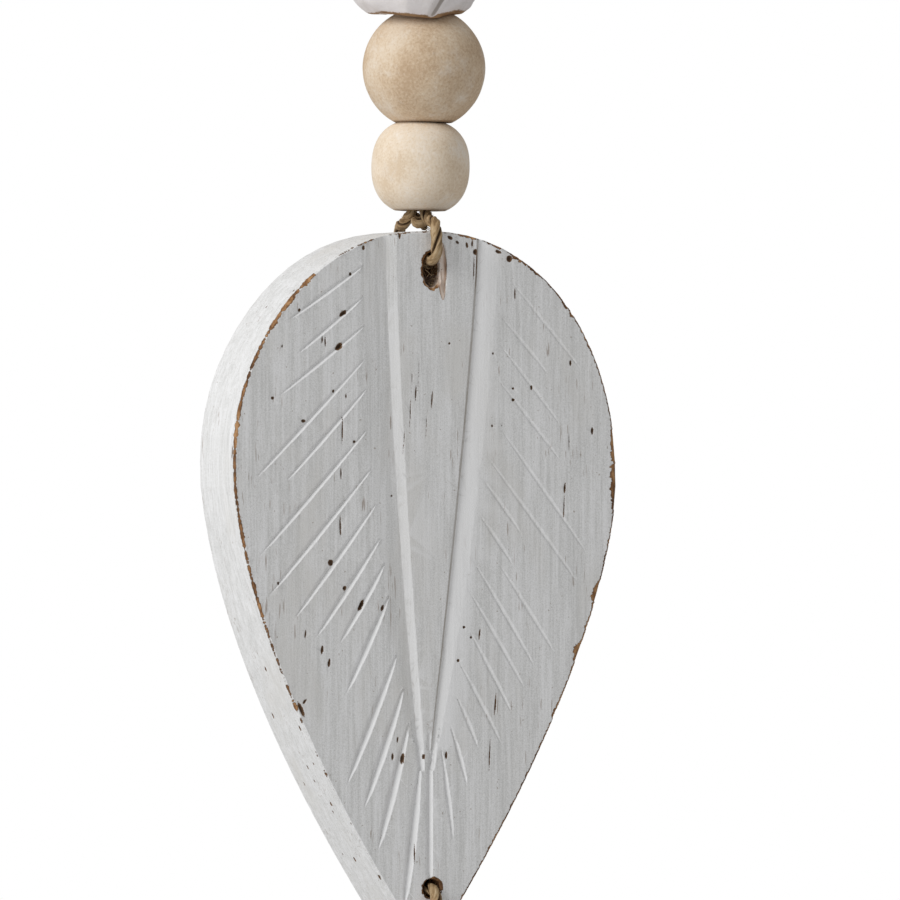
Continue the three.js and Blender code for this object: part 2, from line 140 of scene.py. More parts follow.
class TwineMesh:
    """Points and faces, the lay of the fibres as UVs, and how deep in the crease each point lies."""

    def __init__(self):
        self.points, self.faces, self.uvs, self.crease = [], [], [], []

    def tube(self, rings, uvs, crease):
        """Closes a list of equal rings into a tube with both ends capped."""
        sides, first = len(rings[0]), len(self.points)
        for ring, deep in zip(rings, crease):
            self.points += ring
            self.crease += deep
        for i in range(len(rings) - 1):
            for j in range(sides):
                k = (j + 1) % sides
                a, b = first + i * sides, first + (i + 1) * sides
                self.faces.append((a + j, a + k, b + k, b + j))
                u0, u1 = uvs[0] + j / sides, uvs[0] + (j + 1) / sides
                v0, v1 = uvs[1][i], uvs[1][i + 1]
                self.uvs += [(u0, v0), (u1, v0), (u1, v1), (u0, v1)]
        self.faces.append(tuple(first + j for j in reversed(range(sides))))
        end = first + (len(rings) - 1) * sides
        self.faces.append(tuple(end + j for j in range(sides)))
        self.uvs += [(uvs[0] + j / sides, uvs[1][0]) for j in reversed(range(sides))]
        self.uvs += [(uvs[0] + j / sides, uvs[1][-1]) for j in range(sides)]

    def fibre(self, start, direction, length, thickness, draw, curl):
        """One loose fibre: a thin three-sided hair that bends and tapers as it goes."""
        bend = Vector([draw.uniform(-1, 1) for _ in range(3)]) * curl
        rings, at, heading = [], start.copy(), direction.normalized()
        for i in range(FIBRE_STEPS + 1):
            side = heading.orthogonal().normalized()
            up = heading.cross(side)
            radius = thickness * (1 - 0.7 * i / FIBRE_STEPS)
            rings.append([
                at + (side * math.cos(t) + up * math.sin(t)) * radius
                for t in (0, 2 * math.pi / 3, 4 * math.pi / 3)
            ])
            heading = (heading + bend / FIBRE_STEPS).normalized()
            at = at + heading * length / FIBRE_STEPS
        place = draw.random()
        along = [place * 9 + i for i in range(FIBRE_STEPS + 1)]
        self.tube(rings, (place, along), [[0.15] * 3] * (FIBRE_STEPS + 1))

    def piece(self, name):
        mesh = bpy.data.meshes.new(name)
        mesh.from_pydata([tuple(p) for p in self.points], [], self.faces)
        layer = mesh.uv_layers.new(name="lay")
        layer.data.foreach_set("uv", [x for uv in self.uvs for x in uv])
        crease = mesh.attributes.new("crease", "FLOAT", "POINT")
        crease.data.foreach_set("value", self.crease)
        mesh.polygons.foreach_set("use_smooth", [True] * len(mesh.polygons))
        mesh.update()
        piece = bpy.data.objects.new(name, mesh)
        bpy.context.collection.objects.link(piece)
        return piece


def node(tree, kind, inputs=(), **settings):
    """A shader node with its settings; an input that is a socket is linked, and any other is its value."""
    made = tree.nodes.new("ShaderNode" + kind)
    for name, value in settings.items():
        setattr(made, name, value)
    for key, value in dict(inputs).items():
        if isinstance(value, bpy.types.NodeSocket):
            tree.links.new(value, made.inputs[key])
        else:
            made.inputs[key].default_value = value
    return made


def maths(tree, operation, a, b=0.0, clamp=False):
    return node(tree, "Math", {0: a, 1: b}, operation=operation, use_clamp=clamp).outputs[0]


def times(tree, a, b, clamp=False):
    return maths(tree, "MULTIPLY", a, b, clamp)


def weighed(tree, *parts):
    """The sum of several values, each times its own weight."""
    total = None
    for value, weight in parts:
        share = times(tree, value, weight)
        total = share if total is None else maths(tree, "ADD", total, share)
    return total


def marked(tree, name):
    """What a piece's own attribute of this name says at each place."""
    return node(tree, "Attribute", attribute_name=name).outputs["Fac"]


def ramp(tree, factor, *stops):
    made = node(tree, "ValToRGB", {0: factor})
    while len(made.color_ramp.elements) < len(stops):
        made.color_ramp.elements.new(0.5)
    for element, (position, colour) in zip(made.color_ramp.elements, stops):
        element.position = position
        element.color = (*colour, 1) if len(colour) == 3 else colour
    return made.outputs[0]


def step_up(tree, value, low, high):
    """0 below low, 1 above high, and smooth between."""
    return node(
        tree, "MapRange", {0: value, 1: low, 2: high}, interpolation_type="SMOOTHSTEP"
    ).outputs[0]


def blend(tree, factor, a, b, how="MIX"):
    made = node(tree, "Mix", {0: factor, 6: a, 7: b}, data_type="RGBA", blend_type=how)
    return made.outputs[2]


def stretched(tree, vector, scale):
    return node(tree, "Mapping", {0: vector, 3: scale}).outputs[0]


def grain_noise(tree, vector, scale, detail=2.0, rough=0.5):
    return node(
        tree, "TexNoise", {"Vector": vector, "Scale": scale, "Detail": detail, "Roughness": rough}
    ).outputs[0]


def new_finish(name, roughness, gloss):
    """A node material, with the tree and the Principled shader that hold the rest of its look."""
    finish = bpy.data.materials.new(name)
    finish.use_nodes = True
    shader = finish.node_tree.nodes["Principled BSDF"]
    shader.inputs["Roughness"].default_value = roughness
    shader.inputs["Specular IOR Level"].default_value = gloss
    return finish, finish.node_tree, shader


def raise_surface(tree, shader, height, distance, strength):
    bump = node(tree, "Bump", {"Height": height, "Distance": distance, "Strength": strength})
    tree.links.new(bump.outputs[0], shader.inputs["Normal"])


def jute_finish():
    finish, tree, shader = new_finish("jute twine", 0.85, 0.25)
    lay = node(tree, "UVMap", uv_map="lay").outputs[0]
    place = node(tree, "TexCoord").outputs["Object"]
    strands = grain_noise(tree, stretched(tree, lay, (9, 0.35, 1)), 1.0, 3.0, 0.6)
    hairs = grain_noise(tree, stretched(tree, lay, (26, 0.8, 1)), 1.0, 2.0)
    patches = grain_noise(tree, place, 260.0, 2.0)
    tone = weighed(tree, (strands, 0.65), (hairs, 0.35), (maths(tree, "SUBTRACT", patches, 0.5), 0.35))
    colour = ramp(
        tree, tone,
        (0.30, (0.085, 0.048, 0.022)), (0.42, (0.250, 0.158, 0.078)),
        (0.54, (0.430, 0.300, 0.165)), (0.70, (0.600, 0.475, 0.315)),
    )
    # Painted shade: the colour turns dark brown deep in the crease between the two plies.
    painted_ply_shade = step_up(tree, marked(tree, "crease"), 0.46, 0.80)
    colour = blend(tree, painted_ply_shade, colour, (0.105, 0.060, 0.028, 1))
    tree.links.new(colour, shader.inputs["Base Color"])
    raise_surface(tree, shader, tone, 0.00035, 0.9)
    return finish


jute = jute_finish()


def world_angle(direction):
    return math.atan2(direction.y, direction.x)


def lay_twine(
    name, cad_node, points, start_angle=None, end_angle=None, *, seed, loose=0.9, tails=0, extra=None
):
    """A piece of twine, its two plies twisted round a course.

    The angles make its plies meet those of the neighbouring piece. It has so many loose fibres to a
    millimetre, so many in each frayed tail, and any extra ones that a function adds.
    """
    draw = random.Random(seed)
    course = even_course(points)
    ahead, across = carried_frames(course)
    last = len(course) - 1
    length = course_length(course)

    def turn_for(i, angle):
        wanted = Vector((math.cos(angle), math.sin(angle), 0))
        return math.atan2(wanted.dot(ahead[i].cross(across[i])), wanted.dot(across[i]))

    first_turn = turn_for(0, start_angle) if start_angle is not None else 0.0
    turns = 2 * math.pi * length / TWINE_LAY
    if end_angle is not None:
        target = turn_for(last, end_angle)
        turns = target + round((first_turn + turns - target) / math.pi) * math.pi - first_turn
    outward = []
    for i in range(last + 1):
        turn = first_turn + turns * i / last
        outward.append(across[i] * math.cos(turn) + ahead[i].cross(across[i]) * math.sin(turn))

    # The plies swell and narrow along their run, and their section is a little lobed.
    mesh = TwineMesh()
    sides = PLY["sides"]
    for ply in (1, -1):
        rings, crease, along = [], [], []
        for i in range(last + 1):
            out = outward[i] * ply
            wide = ahead[i].cross(out)
            travelled = length * i / last
            from_end = min(i, last - i)
            taper = 0.55 + 0.45 * min(1.0, from_end / 3) if tails else 1.0
            swell = 1 + 0.07 * noise.noise((travelled * 240, 7.3 * ply, seed * 3.1))
            ring, deep = [], []
            for j in range(sides):
                angle = math.pi + 2 * math.pi * j / sides
                u, v = math.cos(angle), math.sin(angle)
                lobes = 1 + 0.05 * math.sin(5 * angle + travelled * 900 * ply)
                lobes += 0.07 * noise.noise((u * 1.3, v * 1.3, travelled * 520 + 9 * ply))
                reach = swell * lobes * taper
                inner = 0.86 if u < 0 else 1.0
                ring.append(
                    course[i]
                    + out * (PLY["offset"] * taper + PLY["half_depth"] * u * inner * reach)
                    + wide * PLY["half_width"] * v * reach
                )
                # How deep in the crease between the plies a point lies; the twine's material paints shade
                # there.
                deep.append((1 - u) / 2)
            rings.append(ring)
            crease.append(deep)
            along.append(travelled / MM)
        mesh.tube(rings, (0.0 if ply > 0 else 3.0, along), crease)

    # Loose fibres stand off the plies, and the tails fray.
    for _ in range(int(length / MM * loose)):
        i = draw.randrange(2, last - 1)
        ply = draw.choice((1, -1))
        angle = draw.uniform(-1.9, 1.9)
        u, v = math.cos(angle), math.sin(angle)
        out, wide = outward[i] * ply, ahead[i].cross(outward[i] * ply)
        normal = (out * u + wide * v).normalized()
        root = course[i] + out * PLY["offset"]
        root += out * PLY["half_depth"] * u * 0.9 + wide * PLY["half_width"] * v * 0.9
        way = ahead[i] * draw.choice((1, -1)) * draw.uniform(0.5, 1.0) + normal * draw.uniform(0.12, 0.5)
        mesh.fibre(root, way, draw.uniform(0.6, 1.9) * MM, draw.uniform(0.025, 0.05) * MM, draw, 0.6)
    for i, way in ((0, -1), (last, 1)) if tails else ():
        for _ in range(tails):
            spread = Vector([draw.uniform(-1, 1) for _ in range(3)])
            root = course[i] + spread * 0.6 * MM - ahead[i] * way * 0.8 * MM
            heading = ahead[i] * way + spread * 0.42
            mesh.fibre(root, heading, draw.uniform(2.0, 5.5) * MM, draw.uniform(0.05, 0.1) * MM, draw, 0.5)
    if extra:
        extra(mesh, draw)

    piece = mesh.piece(name)
    piece.data.materials.append(jute)
    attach(piece, "root")
    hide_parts(cad_node)
    return piece, course, (world_angle(outward[0]), world_angle(outward[-1]))


KNOT = {"scale": 0.00195, "lift": 0.0017, "squareness": 0.3, "rise": 2.45, "fall": 2.1, "stub": 0.0042}
STRAND_APART = 0.0019
top_knot_height = -0.058
knot_reach = KNOT["scale"] * KNOT["rise"] + KNOT["stub"]
loop_foot = top_knot_height + knot_reach + CLEARANCE
loop_top = TWINE / 2
loop_side = [
    (STRAND_APART, 0, loop_foot),
    (STRAND_APART, 0, loop_foot + 0.002),
    (0.0026, 0, loop_foot + 0.008),
    (0.0042, 0, loop_foot + 0.016),
    (0.0068, 0, loop_foot + 0.028),
    (0.0090, 0, loop_foot + 0.040),
    (0.0076, 0, loop_top - 0.0036),
    (0.0042, 0, loop_top - 0.0007),
]
loop_points = loop_side + [(0, 0, loop_top)] + [(-x, y, z) for x, y, z in reversed(loop_side)]
hanging_loop, loop_course, loop_angles = lay_twine("loop_of_twine", "hanging_loop", loop_points, seed=11)

# ------------ knots
# Plain overhand knots in the same twine: one over the top bead, one under the leaf and one at the very
# end, whose two tails hang free and fray.


def overhand_knot(height, up, tail):
    """Points of an overhand knot laid flat in X-Z; up is 1 when its ends leave above and -1 below."""
    opening, turns = 0.4, 13
    points = []
    for i in range(turns + 1):
        turn = math.pi + opening + (2 * math.pi - 2 * opening) * i / turns
        points.append((
            KNOT["scale"] * (math.sin(turn) + 2 * math.sin(2 * turn)),
            -KNOT["lift"] * (math.sin(3 * turn) + KNOT["squareness"] * math.sin(9 * turn)),
            height - up * KNOT["scale"] * (math.cos(turn) - 2 * math.cos(2 * turn)),
        ))
    end = KNOT["scale"] * KNOT["rise"] + tail
    start = [(STRAND_APART, 0, height + up * end), (STRAND_APART, 0, height + up * (end - tail * 0.3))]
    return start + points + [(-x, y, z) for x, y, z in reversed(start)]


lay_twine(
    "knot_over_the_beads", "top_knot",
    overhand_knot(top_knot_height, 1, KNOT["stub"] + CLEARANCE), *loop_angles, seed=12,
)

# ------------ twine through the leaf
# Both strands come out of the lowest upper bead, straddle the board's top edge and meet in the upper
# hole. A knotted tail sits between them. At the tip the twine comes out of the lower hole on both faces.

LEAF_THICKNESS = leaf_high.y - leaf_low.y
LEAF_MIDDLE = -0.0012
HOLE_X = LEAF_MIDDLE + 0.0003
leaf_face = LEAF_THICKNESS / 2 + TWINE / 2 + CLEARANCE
bead_bottom = leaf_high.z + 0.0054
upper_hole = leaf_high.z - 0.0094
lower_hole = leaf_high.z - 0.1596
HOLE_HALF_WIDTH = 0.0023
UPPER_HOLE_HALF_HEIGHT = 0.0043


def hole_fray(mesh, draw):
    """Short fibres and splinters that the twine has pulled out round the mouth of the upper hole."""
    mouth = -LEAF_THICKNESS / 2
    for _ in range(46):
        angle = draw.uniform(0.15, 1.0) * math.pi * draw.choice((1, -1))
        x = HOLE_X + math.sin(angle) * HOLE_HALF_WIDTH * draw.uniform(0.2, 0.95)
        z = upper_hole + math.cos(angle) * UPPER_HOLE_HALF_HEIGHT * draw.uniform(0.3, 0.95)
        root = Vector((x, mouth + draw.uniform(0.6, 2.2) * MM, z))
        heading = Vector((draw.uniform(-0.8, 0.8), draw.uniform(-1.0, 0.1), draw.uniform(-1.1, 0.6)))
        mesh.fibre(root, heading, draw.uniform(1.0, 2.8) * MM, draw.uniform(0.05, 0.13) * MM, draw, 1.2)


hole_roof = upper_hole + UPPER_HOLE_HALF_HEIGHT - TWINE / 2 - CLEARANCE
over_the_front = [
    (0.0013, -0.0016, bead_bottom + 0.0025),
    (0.0013, -0.0016, bead_bottom - 0.0006),
    (0.0012, -0.0038, bead_bottom - 0.0024),
    (0.0002, -0.0082, bead_bottom - 0.0031),
    (-0.0005, -leaf_face + 0.0007, leaf_high.z + 0.0013),
    (-0.0007, -leaf_face - 0.0003, leaf_high.z - 0.0012),
    (-0.0007, -leaf_face - 0.0004, leaf_high.z - 0.0044),
    (-0.0007, -leaf_face - 0.0001, hole_roof + 0.0012),
    (HOLE_X, -leaf_face + 0.0018, hole_roof - 0.0003),
    (HOLE_X, -LEAF_THICKNESS / 4, hole_roof),
]
up_the_back = [
    (HOLE_X, LEAF_THICKNESS / 4, hole_roof),
    (-0.0006, leaf_face - 0.0016, hole_roof - 0.0003),
    (0.0003, leaf_face + 0.0001, hole_roof + 0.0010),
    (0.0009, leaf_face + 0.0004, leaf_high.z - 0.0044),
    (0.0009, leaf_face + 0.0003, leaf_high.z - 0.0010),
    (0.0005, leaf_face - 0.0009, leaf_high.z + 0.0015),
    (-0.0006, 0.0072, bead_bottom - 0.0033),
    (-0.0014, 0.0032, bead_bottom - 0.0023),
    (-0.0011, 0.0011, bead_bottom - 0.0006),
    (-0.0009, 0.0011, bead_bottom + 0.0025),
]
lay_twine(
    "twine_over_the_top_edge", "upper_leaf_twine", over_the_front + up_the_back, seed=21, extra=hole_fray
)

# The tail is wound round itself into a small lump that slants under the bead.
TAIL_STEPS = 12
tail_turns = []
for i in range(TAIL_STEPS + 1):
    share = i / TAIL_STEPS
    turn = 2 * math.pi * 1.5 * share
    tail_turns.append((
        -0.0006 + 0.0029 * share + 0.0004 * math.cos(turn),
        -0.0002 + 0.0006 * math.sin(turn),
        bead_bottom - 0.0019 - 0.0019 * share + 0.0006 * math.cos(turn),
    ))
lay_twine("knotted_tail", "upper_tie", tail_turns, tails=16, seed=22)

lower_knot_height = leaf_low.z - 0.021
lower_knot_top = lower_knot_height + knot_reach + CLEARANCE
hole_floor = lower_hole - HOLE_HALF_WIDTH + TWINE / 2 + CLEARANCE
down_the_back = [
    (HOLE_X, LEAF_THICKNESS / 4, hole_floor),
    (HOLE_X, leaf_face - 0.0018, hole_floor + 0.0003),
    (HOLE_X, leaf_face + 0.0001, hole_floor - 0.0012),
    (HOLE_X, leaf_face + 0.0004, hole_floor - 0.0044),
    (-0.0013, leaf_face + 0.0004, leaf_low.z + 0.0015),
    (-0.0015, leaf_face - 0.0006, leaf_low.z - 0.0022),
    (-0.0017, 0.0074, leaf_low.z - 0.0058),
    (-0.00185, 0.0032, lower_knot_top + 0.004),
    (-STRAND_APART, 0.0002, lower_knot_top + 0.0016),
    (-STRAND_APART, 0, lower_knot_top),
]
down_the_front = [
    (HOLE_X, -LEAF_THICKNESS / 4, hole_floor),
    (HOLE_X, -leaf_face + 0.0018, hole_floor + 0.0003),
    (-0.0008, -leaf_face - 0.0001, hole_floor - 0.0012),
    (-0.0009, -leaf_face - 0.0004, hole_floor - 0.0044),
    (-0.0008, -leaf_face - 0.0004, leaf_low.z + 0.0015),
    (-0.0002, -leaf_face + 0.0006, leaf_low.z - 0.0022),
    (0.0009, -0.0074, leaf_low.z - 0.0058),
    (0.0016, -0.0032, lower_knot_top + 0.004),
    (STRAND_APART, -0.0002, lower_knot_top + 0.0016),
    (STRAND_APART, 0, lower_knot_top),
]
_, _, (back_angle, front_angle) = lay_twine(
    "twine_under_the_tip", "lower_leaf_twine", down_the_back[::-1] + down_the_front, seed=23
)
lay_twine(
    "knot_under_the_leaf", "lower_knot",
    overhand_knot(lower_knot_height, 1, KNOT["stub"] + CLEARANCE), front_angle, back_angle, seed=24,
)

# ------------ twine in the beads and the end knot
# Straight runs of the same twine through the two stacks of beads, seen only in the gaps between them.
# The last knot stops the lower stack, and its tails hang free.

for name, cad_node, seed in (
    ("twine_in_the_upper_beads", "bead_twine", 31),
    ("twine_in_the_lower_beads", "lower_bead_twine", 32),
):
    low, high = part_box(cad_node)
    middle = (low.z + high.z) / 2
    lay_twine(name, cad_node, [(0, 0, z) for z in (high.z, middle, low.z)], loose=0.1, seed=seed)

END_TAIL = 0.016
end_knot_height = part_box("lower_large_bead")[0].z - KNOT["scale"] * KNOT["fall"] - TWINE / 2 - CLEARANCE
lay_twine(
    "knot_at_the_end", "end_knot", overhand_knot(end_knot_height, -1, END_TAIL), tails=34, seed=33
)

# ------------ turned beads
# Plain round beads turned from pale wood with a bore along the middle, their two ends cut flat. They
# are left bare: the large ones are browner than the small ones.

BORE = 0.004
BORE_RIM = 0.0005
BEAD_SEAT = 0.00018
SOFT_RIM = 0.0009
PROFILE_STEPS = 32
SPIN_STEPS = 72


def apply_step(piece, name, kind, **settings):
    """Adds one modifier to the active piece and applies it."""
    step = piece.modifiers.new(name, kind)
    for setting, value in settings.items():
        setattr(step, setting, value)
    bpy.ops.object.modifier_apply(modifier=step.name)


def make_uneven(piece, name, cloud_size, strength):
    """Moves the surface in and out a little, as a hand tool leaves it."""
    clouds = bpy.data.textures.new(name, "CLOUDS")
    clouds.noise_scale = cloud_size
    apply_step(piece, name, "DISPLACE", texture=clouds, texture_coords="LOCAL", strength=strength)


def turned_bead(name, cad_node, radius, height, full_height, roundness, lean):
    """A bead's half profile, drawn as a closed loop of points and spun round its bore."""
    low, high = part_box(cad_node)
    end = height / 2 + BEAD_SEAT
    profile = []
    for i in range(PROFILE_STEPS + 1):
        z = end * math.sin(math.pi * (i / PROFILE_STEPS - 0.5))
        reach = 1 - abs(2 * z / (full_height + 2 * BEAD_SEAT)) ** roundness
        profile.append((radius * reach ** (1 / roundness), z))
    profile += [(BORE + BORE_RIM, end), (BORE, end - BORE_RIM), (BORE, 0)]
    profile += [(BORE, BORE_RIM - end), (BORE + BORE_RIM, -end)]
    bpy.ops.object.select_all(action="DESELECT")
    bpy.ops.mesh.primitive_circle_add(vertices=len(profile), radius=radius)
    bead = bpy.context.object
    bead.name = name
    for vertex, (out, up) in zip(bead.data.vertices, profile):
        vertex.co = (out, 0, up)
    bpy.ops.object.mode_set(mode="EDIT")
    bpy.ops.mesh.select_all(action="SELECT")
    bpy.ops.mesh.spin(steps=SPIN_STEPS, angle=2 * math.pi, center=(0, 0, 0), axis=(0, 0, 1))
    bpy.ops.mesh.select_all(action="SELECT")
    bpy.ops.mesh.remove_doubles(threshold=1e-7)
    bpy.ops.mesh.normals_make_consistent(inside=False)
    bpy.ops.transform.rotate(value=math.radians(-lean), orient_axis="Y", center_override=(0, 0, 0))
    bpy.ops.transform.translate(value=(low + high) / 2)
    bpy.ops.object.mode_set(mode="OBJECT")
    apply_step(
        bead, "softened rims", "BEVEL",
        width=SOFT_RIM, segments=3, limit_method="ANGLE", angle_limit=math.radians(28),
    )
    make_uneven(bead, "uneven turning", 0.009, 0.00022)
    bpy.ops.object.shade_smooth_by_angle(angle=math.radians(35))
    return bead


def streaks(tree, place, squeeze, scale, detail, rough):
    """Noise drawn out along Z, as grain and brush marks are."""
    return grain_noise(tree, stretched(tree, place, (1, 1, squeeze)), scale, detail, rough)


def wood_figure_group():
    """Grain of bare wood along Z: a soft streaky figure, and fine pores."""
    tree = bpy.data.node_groups.new("wood figure", "ShaderNodeTree")
    tree.interface.new_socket("Place", in_out="INPUT", socket_type="NodeSocketVector")
    size = tree.interface.new_socket("Grain Size", in_out="INPUT", socket_type="NodeSocketFloat")
    size.default_value = 1.0
    for name in ("Figure", "Pores"):
        tree.interface.new_socket(name, in_out="OUTPUT", socket_type="NodeSocketFloat")
    given = tree.nodes.new("NodeGroupInput")
    put = tree.nodes.new("NodeGroupOutput")
    sized = {0: given.outputs["Place"], "Scale": given.outputs["Grain Size"]}
    place = node(tree, "VectorMath", sized, operation="SCALE").outputs[0]
    broad = streaks(tree, place, 0.22, 210.0, 3.0, 0.55)
    fine = streaks(tree, place, 0.3, 900.0, 2.0, 0.6)
    specks = streaks(tree, place, 0.5, 2600.0, 1.0, 0.5)
    pores = step_up(tree, specks, 0.58, 0.70)
    tree.links.new(weighed(tree, (broad, 0.6), (fine, 0.4)), put.inputs["Figure"])
    tree.links.new(pores, put.inputs["Pores"])
    return tree


wood_figure = wood_figure_group()


def wood_in(tree, place, grain_size):
    """The wood figure placed in a material, with its own grain size."""
    made = node(tree, "Group", node_tree=wood_figure)
    tree.links.new(place, made.inputs["Place"])
    made.inputs["Grain Size"].default_value = grain_size
    return made.outputs["Figure"], made.outputs["Pores"]


def bare_wood_finish(name, deep, middle, pale, bloom, patch_size):
    """Unfinished sanded wood: fuzzy even speckle, soft broad patches of tone, and a pale dusty bloom."""
    finish, tree, shader = new_finish(name, 0.8, 0.25)
    place = node(tree, "TexCoord").outputs["Object"]
    figure, pores = wood_in(tree, place, 1.0)
    speckle = grain_noise(tree, place, 1500.0, 3.0, 0.65)
    patches = grain_noise(tree, place, patch_size, 2.0, 0.5)
    tone = weighed(tree, (patches, 0.50), (speckle, 0.38), (figure, 0.12))
    colour = ramp(tree, tone, (0.40, deep), (0.50, middle), (0.59, pale))
    dust = step_up(tree, grain_noise(tree, place, 120.0, 6.0, 0.78), 0.50, 0.72)
    colour = blend(tree, times(tree, dust, 0.6), colour, (*bloom, 1))
    darker = blend(tree, 1.0, colour, (0.80, 0.74, 0.68, 1), "MULTIPLY")
    colour = blend(tree, times(tree, pores, 0.35), colour, darker)
    # Painted shade: dark brown at the bead's ends, where the beads meet.
    colour = blend(tree, times(tree, marked(tree, "rim"), 0.7), colour, (0.20, 0.115, 0.06, 1))
    tree.links.new(colour, shader.inputs["Base Color"])
    raise_surface(tree, shader, speckle, 0.00014, 0.8)
    return finish


tan_wood = bare_wood_finish(
    "tan bare wood",
    (0.56, 0.405, 0.265), (0.69, 0.535, 0.375), (0.78, 0.65, 0.50), (0.84, 0.765, 0.67), 75.0,
)
cream_wood = bare_wood_finish(
    "cream bare wood",
    (0.75, 0.60, 0.435), (0.855, 0.72, 0.56), (0.90, 0.79, 0.66), (0.92, 0.86, 0.78), 90.0,
)


def note(mesh, name, values):
    """Writes a value for each point of a mesh, for its material to read."""
    mesh.attributes.new(name, "FLOAT", "POINT").data.foreach_set("value", np.asarray(values, dtype=float))


SMALL = {"radius": 0.012, "height": 0.021, "full_height": 0.0231, "roundness": 2.4}
LARGE = {"radius": 0.015, "height": 0.0262, "full_height": 0.0296, "roundness": 2.0}
for name, cad_node, size, finish, lean in (
    ("top_round_bead", "top_bead", SMALL, cream_wood, 0),
    ("large_round_bead", "large_bead", LARGE, tan_wood, 0),
    ("small_round_bead", "small_bead", SMALL, cream_wood, 1),
    ("lower_small_round_bead", "lower_small_bead", SMALL, cream_wood, 0),
    ("lower_large_round_bead", "lower_large_bead", LARGE, tan_wood, 0),
):
    bead = turned_bead(name, cad_node, **size, lean=lean)
    low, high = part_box(cad_node)
    ends = [min(p.co.z - low.z, high.z - p.co.z) / MM for p in bead.data.vertices]
    # Painted shade: a band at each end of the bead, where it meets its neighbour, for the material to
    # darken.
    note(bead.data, "rim", [max(0.0, min(1.0, 0.9 - 2.2 * end)) for end in ends])
    bead.data.materials.append(finish)
    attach(bead, "root")
    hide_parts(cad_node)

# ------------ carved bead
# A chunky wooden bead cut with flat facets and slanting creases, then painted a chalky off-white that
# has rubbed through along its rims. Its hollows and creases are painted darker, as painted shade.


def pick_only(piece):
    bpy.ops.object.select_all(action="DESELECT")
    piece.select_set(True)
    bpy.context.view_layer.objects.active = piece


def dense_copy(name, cad_node, grain):
    """A merged copy of a plain solid, remeshed evenly and drawn back onto the solid's own faces."""
    source = bpy.data.objects[cad_node]
    whole = bpy.data.objects.new(name + "_faces", source.data.copy())
    whole.data.transform(source.matrix_world)
    whole.data.materials.clear()
    bpy.context.collection.objects.link(whole)
    pick_only(whole)
    bpy.ops.object.mode_set(mode="EDIT")
    bpy.ops.mesh.select_all(action="SELECT")
    bpy.ops.mesh.remove_doubles(threshold=1e-6)
    bpy.ops.object.mode_set(mode="OBJECT")
    bpy.ops.object.duplicate()
    dense = bpy.context.object
    dense.name = name
    apply_step(dense, "even mesh", "REMESH", mode="VOXEL", voxel_size=grain)
    apply_step(dense, "crisp faces", "SHRINKWRAP", target=whole, wrap_method="NEAREST_SURFACEPOINT")
    return dense, whole


def mesh_points(mesh):
    flat = np.empty(len(mesh.vertices) * 3)
    mesh.vertices.foreach_get("co", flat)
    return flat.reshape(-1, 3)


def mesh_normals(mesh):
    flat = np.empty(len(mesh.vertices) * 3)
    mesh.vertex_normals.foreach_get("vector", flat)
    return flat.reshape(-1, 3)


def set_points(mesh, points):
    mesh.vertices.foreach_set("co", points.ravel())
    mesh.update()


def hollows(mesh, rounds):
    """How hollow (positive) or ridged (negative) the surface is at each vertex, from its neighbours."""
    points, normals = mesh_points(mesh), mesh_normals(mesh)
    pairs = np.empty(len(mesh.edges) * 2, dtype=int)
    mesh.edges.foreach_get("vertices", pairs)
    a, b = pairs[0::2], pairs[1::2]
    count = np.bincount(pairs, minlength=len(points)).clip(1)

    def around(values):
        total = np.bincount(a, values[b], len(points)) + np.bincount(b, values[a], len(points))
        return total / count

    offset = np.stack([around(points[:, k]) for k in range(3)], axis=1) - points
    bend = (offset * normals).sum(axis=1)
    for _ in range(rounds):
        bend = (bend + around(bend)) / 2
    return bend / MM


def ease(value, low, high):
    """0 below low, 1 above high, and smooth between, for arrays."""
    share = np.clip((value - low) / (high - low), 0, 1)
    return share * share * (3 - 2 * share)


carved, carved_faces = dense_copy("carved_bead", "white_bead", 0.00042)
apply_step(carved, "worn corners", "SMOOTH", factor=0.5, iterations=12)
make_uneven(carved, "hand cut", 0.0045, 0.0003)
bpy.data.objects.remove(carved_faces)

# The foot was cut by eye. Its points are measured in millimetres to the right of the bead's middle
# (beside), to the front (before) and above the foot, moved, and put back.
bead_points = mesh_points(carved.data)
bead_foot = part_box("white_bead")[0].z
facing = camera_turn
beside = (bead_points[:, 0] * math.cos(facing) - bead_points[:, 1] * math.sin(facing)) / MM
before = (-bead_points[:, 0] * math.sin(facing) - bead_points[:, 1] * math.cos(facing)) / MM
above = (bead_points[:, 2] - bead_foot) / MM

# It spreads low down, most at the right.
low_down = 1 - ease(above, 3.5, 11)
to_left = (0.7 + 1.2 * ease(above, 0, 3.2)) * ease(-beside, 4, 11) * low_down
to_right = (0.9 + 0.8 * np.exp(-((above - 1.5) / 1.3) ** 2)) * ease(beside, 4, 9) * low_down
beside += to_right - to_left

# A crease slants up to the right, and the front swells beside it.
groove = np.exp(-((beside - 2.7 - 0.94 * above) / 1.0) ** 2) * ease(before, 4, 8)
groove *= 1 - ease(above, 8, 14)
before += 1.7 * ease(before, 5, 9) * (1 - ease(above, 2, 7)) - 0.75 * groove
from_axis = np.hypot(beside, before)
foot_rim = np.clip(1.7 - above / 0.8, 0, 1) * ease(from_axis, 7.5, 8.5)

# The rim droops at the front, as far as the round top of the large bead leaves room.
bead_curve = np.sqrt(np.clip(1 - (from_axis * MM / LARGE["radius"]) ** 2, 0, 1))
seat_gap = (LARGE["height"] - LARGE["full_height"] * bead_curve) / (2 * MM) - 0.12
droop = np.interp(beside, [-13.8, -8.6, -2.7, 2.7, 5.4, 7.8, 12], [1.05, 0.95, 1.45, 2.0, 1.6, 0.6, 0])
droop = np.minimum(droop, np.clip(seat_gap, 0, 3)) * ease(before, -5, 5) * (1 - ease(above, 0.5, 6))
above -= np.where(from_axis > 7.2, droop, 0)

